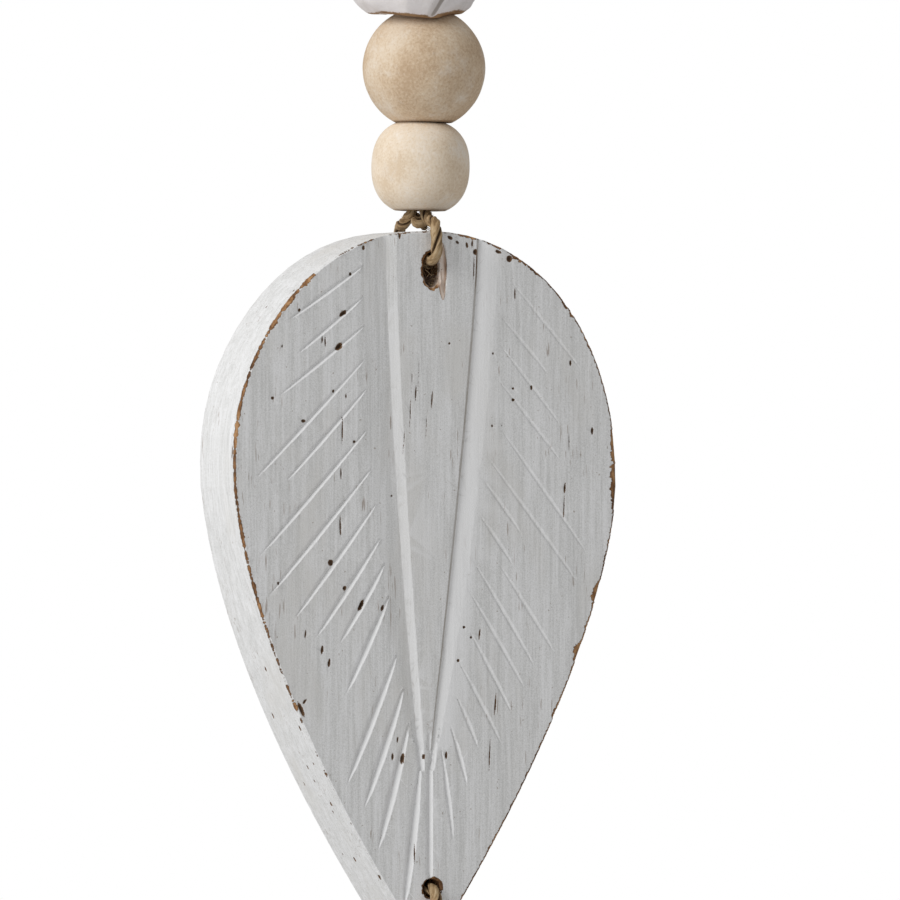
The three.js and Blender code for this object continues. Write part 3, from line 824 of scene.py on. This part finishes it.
bead_points[:, 0] = (beside * math.cos(facing) - before * math.sin(facing)) * MM
bead_points[:, 1] = (-beside * math.sin(facing) - before * math.cos(facing)) * MM
bead_points[:, 2] = bead_foot + above * MM
set_points(carved.data, bead_points)
# The hollows, with the slanting crease added in, are where the paint is given painted shade; ridges are
# where it rubs through.
note(carved.data, "hollow", hollows(carved.data, 6) + 0.022 * groove)
note(carved.data, "rim", foot_rim)
bpy.ops.object.shade_smooth()


def chalk_finish():
    finish, tree, shader = new_finish("chalk white paint", 0.9, 0.2)
    place = node(tree, "TexCoord").outputs["Object"]
    hollow = marked(tree, "hollow")
    cloudy = grain_noise(tree, place, 240.0, 4.0, 0.6)
    gritty = grain_noise(tree, place, 2400.0, 3.0, 0.65)
    paint = ramp(tree, cloudy, (0.36, (0.765, 0.725, 0.71)), (0.64, (0.86, 0.82, 0.82)))
    figure, _ = wood_in(tree, place, 1.3)
    brown = ramp(tree, figure, (0.38, (0.23, 0.125, 0.06)), (0.62, (0.42, 0.27, 0.15)))
    rubbed = maths(tree, "ADD", times(tree, hollow, -20.0), maths(tree, "SUBTRACT", gritty, 0.75))
    rubbed = maths(tree, "ADD", rubbed, times(tree, marked(tree, "rim"), 0.8))
    colour = blend(tree, step_up(tree, rubbed, 0.20, 0.50), paint, brown)
    # Painted shade: the paint turns grey-brown in the hollows and along the crease.
    painted_crease_shade = step_up(tree, hollow, 0.008, 0.028)
    colour = blend(tree, times(tree, painted_crease_shade, 0.75), colour, (0.30, 0.26, 0.225, 1))
    tree.links.new(colour, shader.inputs["Base Color"])
    raise_surface(tree, shader, gritty, 0.00012, 0.7)
    return finish


carved.data.materials.append(chalk_finish())
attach(carved, "root")
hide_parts("white_bead")

# ------------ carved leaf
# A leaf-shaped board sawn from plank. Two gouged channels leave a flat midrib, and V cuts make the
# veins. It is whitewashed, with paint chipped off the rim and streaks of brown wood showing through.

leaf, leaf_faces = dense_copy("carved_leaf", "leaf", 0.00023)
CHAMFER = 0.0005
LEAF_TRIANGLES = 190000

# In millimetres: how wide a band the rim's wear can reach, the deepest chip and vein, the lip of paint on
# a vein, and how far below the top the channels and the midrib end.
RIM_BAND = 2.2
DEEPEST_CHIP = 0.22
DEEPEST_VEIN = 1.3
PAINT_LIP = 0.13
CHANNEL_END = 124
RIB_END = 126

# Where the paint is knocked off the carved face: millimetres right of the midrib's line and below the
# top, half width, half height, and lean to the right in degrees.
NICKS = [
    (-8.5, 1.2, 0.3, 0.8, 0), (5, 1.6, 0.7, 0.45, 30), (7, 2.7, 0.6, 0.4, 40), (9.6, 3.4, 0.35, 0.7, -10),
    (11, 3, 0.28, 0.8, 5), (11.8, 5, 0.6, 0.7, 0), (11.4, 9.5, 0.16, 4.2, 2), (12.2, 9.8, 0.18, 4.0, 1),
    (18, 4.9, 0.9, 0.4, 20), (21, 6.6, 0.8, 0.8, 30), (-18, 4.3, 0.4, 0.6, 0), (-21.5, 10.7, 0.4, 0.4, 0),
    (-34, 12, 0.8, 0.5, -40), (-35, 19.5, 0.4, 0.4, 0), (-23.5, 20.2, 1.1, 0.55, -36),
    (-24.5, 28.2, 1.2, 0.75, -45), (-29, 26.6, 0.22, 1.1, 3), (-28.2, 27, 0.2, 1.2, -2),
    (-39.5, 28.2, 0.25, 0.6, 0), (-42, 40.7, 0.45, 0.4, 0), (-26, 39, 0.4, 0.4, 0),
    (-22.7, 40.2, 0.2, 0.6, 0), (-23.7, 48.7, 0.2, 3.4, 1), (-20.5, 51.2, 0.4, 0.4, 0),
    (-24, 58.8, 0.22, 1.5, 0), (-34, 46.2, 0.6, 0.4, 0), (-24.2, 71.6, 0.28, 3.0, -1),
    (-10.3, 64.3, 0.3, 0.3, 0), (-26.7, 80.4, 0.75, 0.8, -40), (-40.5, 85.3, 0.35, 0.35, 0),
    (-23, 86.6, 0.6, 0.6, 0), (-18.6, 90.7, 0.55, 1.5, 24), (-13, 91.4, 0.45, 0.8, 24),
    (-29, 101.4, 0.35, 1.0, 8), (-27.2, 104.6, 0.35, 1.0, 8), (-4.1, 39.3, 0.22, 1.9, 3),
    (0.2, 41, 0.2, 2.2, 5), (-5.2, 36.5, 0.12, 2.6, 3), (-1.2, 46, 0.1, 3.0, 4), (4.8, 27.3, 0.3, 0.3, 0),
    (16.6, 29.7, 0.3, 0.3, 0), (22.5, 15.3, 0.15, 1.1, 0), (37.6, 31.9, 0.35, 0.8, 0),
    (27, 38, 0.35, 0.6, 0), (22, 38.2, 0.35, 0.35, 0), (22, 41, 0.45, 0.4, 0), (16.4, 47.3, 0.3, 0.35, 0),
    (19, 47.2, 0.25, 0.25, 0), (43.5, 48.5, 0.4, 0.9, 0), (8.8, 96.3, 0.35, 0.35, 0),
    (10.7, 98.8, 0.35, 0.35, 0), (7.2, 104.4, 0.4, 0.4, 0), (13, 97.8, 0.2, 1.4, 8),
    (-7.6, 128, 0.45, 1.3, 10), (-10.3, 127.5, 0.35, 0.9, 5), (-9, 123.4, 0.25, 0.8, 3),
    (-2, 127.6, 0.35, 0.6, 0), (4, 127.4, 0.35, 0.9, 0), (17.2, 115.4, 0.22, 2.7, 4),
    (15.7, 127, 0.18, 3.6, 3), (-4.4, 151, 0.15, 2.4, 2), (-34.6, 115.6, 0.5, 1.9, -24),
    (-33.6, 113.8, 0.3, 0.7, 40), (-5.6, 44, 0.12, 3.4, 3), (-3.4, 35, 0.1, 2.8, 2),
    (-7.2, 50, 0.1, 3.6, 4), (37.2, 51, 0.16, 2.6, 0), (36, 62.5, 0.3, 1.3, 4), (35.8, 67, 0.16, 3.2, 3),
    (-33.4, 97.6, 0.25, 1.2, 8),
]


def rim_samples(body, level):
    """Points and outward directions along the edge where the sawn sides meet the chamfer at this level."""
    samples = []
    for face in body.data.polygons:
        if abs(face.normal.y) > 0.1:
            continue
        for a, b in face.edge_keys:
            start, end = body.data.vertices[a].co, body.data.vertices[b].co
            if abs(start.y - level) < 1e-5 and abs(end.y - level) < 1e-5:
                steps = max(1, round((end - start).length / 0.00025))
                samples += [(start.lerp(end, i / steps), face.normal.copy()) for i in range(steps)]
    return samples


def near_hole(x, z):
    """1 at the upper hole, -1 at the lower one and 0 on the board's outline."""
    if abs(x - HOLE_X) > 0.0045:
        return 0
    return 1 if abs(z - upper_hole) < 0.006 else -1 if abs(z - lower_hole) < 0.004 else 0


# Bigger chips along the front rim: side (-1 left, 1 right), depth below the top, half length, how far in.
RIM_CHIPS = [
    (1, 1.4, 0.8, 0.4), (1, 3.2, 0.9, 0.35), (1, 6.0, 0.9, 0.6), (1, 9.0, 1.6, 0.3), (1, 17.5, 0.9, 0.4),
    (1, 19.8, 0.7, 0.5), (1, 57.0, 9.0, 0.8), (1, 64.0, 5.0, 0.5), (1, 88.5, 2.8, 0.9), (1, 96.5, 1.2, 0.5),
    (1, 102.5, 2.6, 1.0), (1, 116.0, 3.0, 0.3), (-1, 12.5, 0.9, 0.5), (-1, 17.5, 2.2, 0.3),
    (-1, 23.0, 1.2, 0.35), (-1, 31.5, 1.0, 0.2), (-1, 47.0, 8.0, 0.16), (-1, 74.0, 3.0, 0.2),
    (-1, 86.0, 1.4, 0.2), (-1, 115.0, 1.6, 0.35),
]


def knocked_off(x, z, back):
    """How far in from the corner the rim is worn at a place on the outline, in millimetres."""
    right, depth = (x - LEAF_MIDDLE) / MM, (leaf_high.z - z) / MM
    coarse = noise.noise((right * 0.9, depth * 0.9, back * 9))
    ragged = coarse + 0.8 * noise.noise((right * 2.6, depth * 2.6, 4))
    patch = noise.noise((right * 0.16, depth * 0.16, 7 + back * 5))
    hole = near_hole(x, z)
    if hole:
        return 0.75 + 0.4 * ragged if hole > 0 else 0.5 + 0.3 * ragged
    if back:
        usual = 0.2
    elif right < 0 and depth < 60 and abs(right) < 31:
        usual = 0.08 if depth < 6 else -0.25
    elif right < 0:
        usual = 0.30 - 0.0014 * depth - 0.004 * max(0.0, depth - 95)
    else:
        usual = 0.0 if right < 24 and depth < 60 else 0.20 + 0.10 * min(1.0, depth / 60)
    reach = CHAMFER / MM * 0.5 + usual + 0.3 * max(0.0, patch - 0.15)
    for side, middle, half_length, inward in RIM_CHIPS:
        if not back and side * right > 0 and abs(depth - middle) < half_length and abs(right) > 3:
            reach += inward * (1 - ((depth - middle) / half_length) ** 2) ** 0.5
    return reach * (1 + 0.55 * ragged)


# Places on the board are millimetres right of the midrib's line and below the top.
leaf_points = mesh_points(leaf.data)
leaf_normals = mesh_normals(leaf.data)
right = (leaf_points[:, 0] - LEAF_MIDDLE) / MM
depth = (leaf_high.z - leaf_points[:, 2]) / MM
on_front = leaf_points[:, 1] < leaf_low.y + 1.4 * MM
rib_wall_x = 12.28 - 0.0742 * depth - 0.0002 * depth**2
rib_left = np.where(depth < 90, 0.0667 * depth - 14.5, 0.13 * depth - 20.2)
in_rib = (right > rib_left) & (right < rib_wall_x + 1.5) & (depth < RIB_END)

# Each vein is one steep wall. The far side of its cut stays almost level and drops only at the bottom.
cut = np.where(on_front, (leaf_points[:, 1] - leaf_low.y) / MM, 0)
deepest = np.where(cut < DEEPEST_VEIN, cut, 0)
ends = np.empty(len(leaf.data.edges) * 2, dtype=int)
leaf.data.edges.foreach_get("vertices", ends)
ends = ends.reshape(-1, 2)
ends = ends[on_front[ends].all(axis=1)]
for _ in range(6):
    np.maximum.at(deepest, ends[:, 0], deepest[ends[:, 1]])
    np.maximum.at(deepest, ends[:, 1], deepest[ends[:, 0]])
facing_away = 0.9 * leaf_normals[:, 0] - 0.4 * leaf_normals[:, 2]
in_channel = (right > 0.06 * depth - 25) & (right < rib_wall_x + 6.5) & (depth < CHANNEL_END)
in_channel &= np.abs(leaf_normals[:, 2]) < 0.06
in_vein = on_front & ~in_rib & ~in_channel & (leaf_normals[:, 1] < -0.76)
in_vein &= (cut > 0.01) & (cut < DEEPEST_VEIN)
share = np.clip(cut / np.maximum(deepest, 0.01), 0, 1)
power = np.where(facing_away > 0.1, 3.2, np.where(facing_away < -0.1, 1.3, 1.0))
shallower = np.where((right > 0) & (depth < CHANNEL_END), 0.62, 1.0)
leaf_points[in_vein, 1] = leaf_low.y + (deepest * share**power * shallower)[in_vein] * MM

# Paint has built up into a thin lip along the lit edge of each vein. Painted highlight: the lips, the vein
# walls that face the lamp, and the lit walls beside the channel and in the midrib are marked to be painted
# near-white.
set_points(leaf.data, leaf_points)
leaf_normals = mesh_normals(leaf.data)
towards = 0.4 * leaf_normals[:, 2] - 0.9 * leaf_normals[:, 0]
uneven_paint = np.array([noise.noise((x * 700, 3, z * 700)) for x, _, z in leaf_points[in_vein]])
lip = np.zeros(len(leaf_points))
lip[in_vein] = np.clip(-hollows(leaf.data, 1)[in_vein] / 0.012, 0, 1)
lip[in_vein] *= np.clip(towards[in_vein] / 0.12, 0, 1)
lip[in_vein] *= np.clip(0.8 + 0.9 * uneven_paint, 0, 1.3)
thick = np.where(in_vein, np.clip((towards - 0.06) * 5, 0, 1), 0)
thick = np.maximum(thick, np.clip(lip, 0, 1)) * np.where(shallower < 1, 0.7, 0.9)
past_wall = np.clip((right - rib_wall_x - 0.4) / 0.6, 0, 1) * np.clip((rib_wall_x + 8 - right) / 3, 0, 1)
past_wall *= on_front & (depth < RIB_END) & (leaf_normals[:, 0] < 0.15)
thick = np.maximum(thick, 0.8 * past_wall)
thick = np.maximum(thick, 0.6 * (in_rib & on_front & (leaf_normals[:, 0] < -0.15) & (depth > 18)))
leaf_points[:, 1] -= PAINT_LIP * lip * MM

# The rim is chipped: "bare" is how far inside a worn patch a point lies, and "pit" how deep in a knock.
bare = np.full(len(leaf_points), -1.0)
pit = np.zeros(len(leaf_points))
for back, corner_y, chamfer_y in (
    (0, leaf_low.y, leaf_low.y + CHAMFER), (1, leaf_high.y, leaf_high.y - CHAMFER)
):
    samples = rim_samples(leaf_faces, chamfer_y)
    corners = kdtree.KDTree(len(samples))
    for i, (place, _) in enumerate(samples):
        corners.insert((place.x, corner_y, place.z), i)
    corners.balance()
    worn = [knocked_off(place.x, place.z, back) for place, _ in samples]
    inward_y = -1 if back else 1
    for k in np.flatnonzero(np.abs(leaf_points[:, 1] - corner_y) < RIM_BAND * MM):
        _, i, distance = corners.find(leaf_points[k])
        if distance > RIM_BAND * MM:
            continue
        short = worn[i] - distance / MM
        bare[k] = max(bare[k], short + 0.05)
        if short > 0:
            out = samples[i][1]
            step = min(0.55 * short, DEEPEST_CHIP) * MM
            leaf_points[k] += (-out.x * 0.7 * step, inward_y * 0.7 * step, -out.z * 0.7 * step)

for x, down, half_width, half_height, lean in NICKS:
    near = on_front & (np.abs(right - x) < 5) & (np.abs(depth - down) < 6)
    turn = math.radians(lean)
    u = (right[near] - x) * math.cos(turn) + (depth[near] - down) * math.sin(turn)
    v = (depth[near] - down) * math.cos(turn) - (right[near] - x) * math.sin(turn)
    reach = np.sqrt((u / half_width) ** 2 + (v / half_height) ** 2)
    size = min(half_width, half_height)
    inside = np.clip(1 - reach**2, 0, 1)
    leaf_points[near, 1] += inside * min(0.5, 0.8 * size) * MM
    bare[near] = np.maximum(bare[near], (1 - reach) * size)
    pit[near] = np.maximum(pit[near], inside)

# Smaller knocks scattered over the back and the sawn sides.
scatter = random.Random(5)
plain = np.flatnonzero(np.abs(leaf_normals[:, 1]) < 0.3)
behind = np.flatnonzero(leaf_normals[:, 1] > 0.95)
for chosen, count, tall in ((plain, 24, 2.2), (behind, 40, 3.0)):
    for _ in range(count):
        k = chosen[scatter.randrange(len(chosen))]
        wide, high = scatter.uniform(0.18, 0.45), scatter.uniform(0.3, tall)
        offset = (leaf_points - leaf_points[k]) / MM
        across = np.sqrt(offset[:, 0] ** 2 + offset[:, 1] ** 2)
        reach = np.sqrt((across / wide) ** 2 + (offset[:, 2] / high) ** 2)
        near = reach < 3
        inside = np.clip(1 - reach[near] ** 2, 0, 1)
        leaf_points[near] -= leaf_normals[k] * (inside * 0.5 * wide * MM)[:, None]
        bare[near] = np.maximum(bare[near], (1 - reach[near]) * wide)
        pit[near] = np.maximum(pit[near], 0.8 * inside)

# The bores are raw wood, and a strip beside the upper one is freshly torn.
in_bore = np.zeros(len(leaf_points), dtype=bool)
for hole, half_height in ((upper_hole, UPPER_HOLE_HALF_HEIGHT), (lower_hole, HOLE_HALF_WIDTH)):
    from_axis = np.hypot(
        (leaf_points[:, 0] - HOLE_X) / HOLE_HALF_WIDTH, (leaf_points[:, 2] - hole) / half_height
    )
    in_bore |= (from_axis < 1.04) & (leaf_points[:, 1] > leaf_low.y + 0.4 * MM)
bare[in_bore] = 0.8
STRIP = {"depth": 9.7, "half_length": 7.2, "half_width": 1.45, "right": 2.8, "lean": 0.05}
strip_share = (depth - STRIP["depth"]) / STRIP["half_length"]
strip_half = STRIP["half_width"] * np.sqrt(np.clip(1 - strip_share**2, 0, 1)) * (1 - 0.35 * strip_share)
from_strip = np.abs(right - (STRIP["right"] + STRIP["lean"] * (depth - STRIP["depth"])))
torn = (np.abs(strip_share) < 1) & (from_strip < 2) & (leaf_points[:, 1] < leaf_low.y + 2 * MM)
bare[torn] = np.maximum(bare[torn], strip_half[torn] - from_strip[torn])
fresh = np.where(torn, np.clip(1.3 - from_strip / np.maximum(strip_half, 0.1), 0, 1), 0)
below_hole = (upper_hole - leaf_points[:, 2]) / MM
fresh[in_bore & (below_hole > 1.5) & (below_hole < 8)] = 0.6

# Dirt has settled along the foot of the wall on the right of the midrib, and painted shade is added with
# it:
# the mark grows as the wall turns away from the lamp.
rib_wall = on_front & (leaf_normals[:, 0] > 0.25) & (np.abs(right - rib_wall_x) < 1.6)
rib_wall &= depth < RIB_END
dirt = np.where(rib_wall, np.clip((leaf_normals[:, 0] - 0.2) * 2.5, 0, 1), 0)
set_points(leaf.data, leaf_points)
bpy.data.objects.remove(leaf_faces)

for name, values in (("bare", bare), ("pit", pit), ("dirt", dirt), ("fresh", fresh), ("thick", thick)):
    note(leaf.data, name, values)

# The mesh is lightened where the paint is whole, away from the upper hole.
sound = leaf.vertex_groups.new(name="sound")
by_the_hole = on_front & (np.abs(right - 3) < 5) & (depth < 20)
sound.add(np.flatnonzero((bare < -0.35) & ~by_the_hole).tolist(), 1.0, "REPLACE")
pick_only(leaf)
leaf.data.calc_loop_triangles()
apply_step(
    leaf, "lighter mesh", "DECIMATE",
    ratio=LEAF_TRIANGLES / len(leaf.data.loop_triangles), vertex_group="sound", vertex_group_factor=1.0,
)
leaf.vertex_groups.clear()
bpy.ops.object.shade_smooth()
apply_step(leaf, "level faces", "WEIGHTED_NORMAL", weight=50)


def whitewash_finish():
    finish, tree, shader = new_finish("whitewashed board", 0.62, 0.3)
    place = node(tree, "TexCoord").outputs["Object"]
    worn_off, pit_depth, wall_dirt_and_shade, freshly_torn, painted_highlight_mask = [
        marked(tree, name) for name in ("bare", "pit", "dirt", "fresh", "thick")
    ]

    # Brushed paint, thin in clouds and rubbed through to brown along the grain.
    brushed = streaks(tree, place, 0.045, 1500.0, 3.0, 0.6)
    strokes = streaks(tree, place, 0.06, 520.0, 2.0, 0.5)
    cloudy = streaks(tree, place, 0.4, 75.0, 3.0, 0.6)
    grit = grain_noise(tree, place, 3400.0, 2.0, 0.65)
    tone = weighed(tree, (brushed, 0.34), (strokes, 0.24), (grit, 0.42))
    paint = ramp(
        tree, tone,
        (0.40, (0.685, 0.685, 0.675)), (0.50, (0.81, 0.81, 0.805)), (0.60, (0.915, 0.915, 0.92)),
    )
    thin = times(tree, step_up(tree, cloudy, 0.48, 0.72), 0.6)
    paint = blend(tree, thin, paint, (0.76, 0.745, 0.715, 1))
    lines = streaks(tree, place, 0.07, 2300.0, 1.0, 0.4)
    where = streaks(tree, place, 0.6, 120.0, 2.0, 0.5)
    rubbed = times(tree, step_up(tree, lines, 0.65, 0.72), step_up(tree, where, 0.51, 0.62))
    paint = blend(tree, times(tree, rubbed, 0.6), paint, (0.27, 0.19, 0.135, 1))
    specks = step_up(tree, grain_noise(tree, place, 1300.0, 1.0, 0.4), 0.76, 0.80)
    paint = blend(tree, times(tree, specks, 0.55), paint, (0.30, 0.24, 0.18, 1))

    # Dirt and painted shade at the foot of the rib wall.
    settled_dirt_and_shade = times(tree, times(tree, wall_dirt_and_shade, brushed), 1.25, clamp=True)
    paint = blend(tree, settled_dirt_and_shade, paint, (0.33, 0.28, 0.22, 1))
    # Painted highlight: near-white on the vein lips and on the walls that face the lamp.
    paint = blend(tree, times(tree, painted_highlight_mask, 0.95, clamp=True), paint, (0.955, 0.955, 0.96, 1))

    # Old brown wood, darker in pits and along the edge of a worn patch, and pale wood where it is torn.
    figure, _ = wood_in(tree, place, 1.6)
    brown = ramp(
        tree, figure,
        (0.38, (0.11, 0.055, 0.026)), (0.49, (0.28, 0.140, 0.060)), (0.60, (0.50, 0.285, 0.135)),
    )
    brown = blend(tree, times(tree, pit_depth, 1.3, clamp=True), brown, (0.075, 0.045, 0.026, 1))
    edge = maths(tree, "SUBTRACT", 1.0, step_up(tree, worn_off, 0.04, 0.22))
    brown = blend(tree, times(tree, edge, 0.75), brown, (0.11, 0.062, 0.034, 1))
    torn_wood = ramp(
        tree, figure, (0.38, (0.50, 0.34, 0.25)), (0.48, (0.78, 0.64, 0.54)), (0.60, (0.88, 0.80, 0.73))
    )
    raw = blend(tree, freshly_torn, brown, torn_wood)

    # The wood shows where the paint is worn off, with an edge that follows grit and brush marks.
    ragged = weighed(
        tree, (maths(tree, "SUBTRACT", grit, 0.5), 0.30), (maths(tree, "SUBTRACT", brushed, 0.5), 0.45)
    )
    showing = step_up(tree, maths(tree, "ADD", worn_off, ragged), -0.03, 0.05)
    tree.links.new(blend(tree, showing, paint, raw), shader.inputs["Base Color"])
    dull = node(tree, "MapRange", {0: showing, 3: 0.62, 4: 0.88}).outputs[0]
    tree.links.new(dull, shader.inputs["Roughness"])
    height = maths(tree, "ADD", tone, times(tree, showing, -0.6))
    raise_surface(tree, shader, height, 0.00021, 0.75)
    return finish


leaf.data.materials.append(whitewash_finish())
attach(leaf, "root")
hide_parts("leaf")

# ------------ floor, light and background
# A pale floor well below the drop, one large soft lamp from the left and above, and an even white sky.

FLOOR_HEIGHT = -0.52
FLOOR_RADIUS = 0.7
LAMP_DIRECTION = (-0.90, -0.20, 0.50)
LAMP_DISTANCE = 1.6
LAMP_SIZE = 0.9
LAMP_POWER = 16.5
SKY_LIGHT = 0.41
SKY_SEEN = 1.0

bpy.ops.object.select_all(action="DESELECT")
bpy.ops.mesh.primitive_circle_add(
    vertices=96, radius=FLOOR_RADIUS, fill_type="NGON", location=(0, 0, FLOOR_HEIGHT)
)
floor = bpy.context.object
floor.name = "floor"
floor_finish, _, floor_shader = new_finish("pale floor", 0.9, 0.5)
floor_shader.inputs["Base Color"].default_value = (0.8, 0.8, 0.8, 1)
floor.data.materials.append(floor_finish)

away = Vector(LAMP_DIRECTION).normalized()
bpy.ops.object.light_add(type="AREA", location=Vector((0, 0, eye_height)) + away * LAMP_DISTANCE)
lamp = bpy.context.object
lamp.name = "key_lamp"
lamp.data.shape = "SQUARE"
lamp.data.size = LAMP_SIZE
lamp.data.energy = LAMP_POWER
lamp.rotation_euler = away.to_track_quat("Z", "Y").to_euler()

world = bpy.data.worlds.new("studio")
bpy.context.scene.world = world
world.use_nodes = True
sky = world.node_tree
background = sky.nodes["Background"]
seen = sky.nodes.new("ShaderNodeLightPath").outputs["Is Camera Ray"]
brightness = node(sky, "MapRange", {0: seen, 3: SKY_LIGHT, 4: SKY_SEEN}).outputs[0]
background.inputs["Color"].default_value = (1, 1, 1, 1)
sky.links.new(brightness, background.inputs["Strength"])
bpy.context.scene.view_settings.view_transform = "Standard"
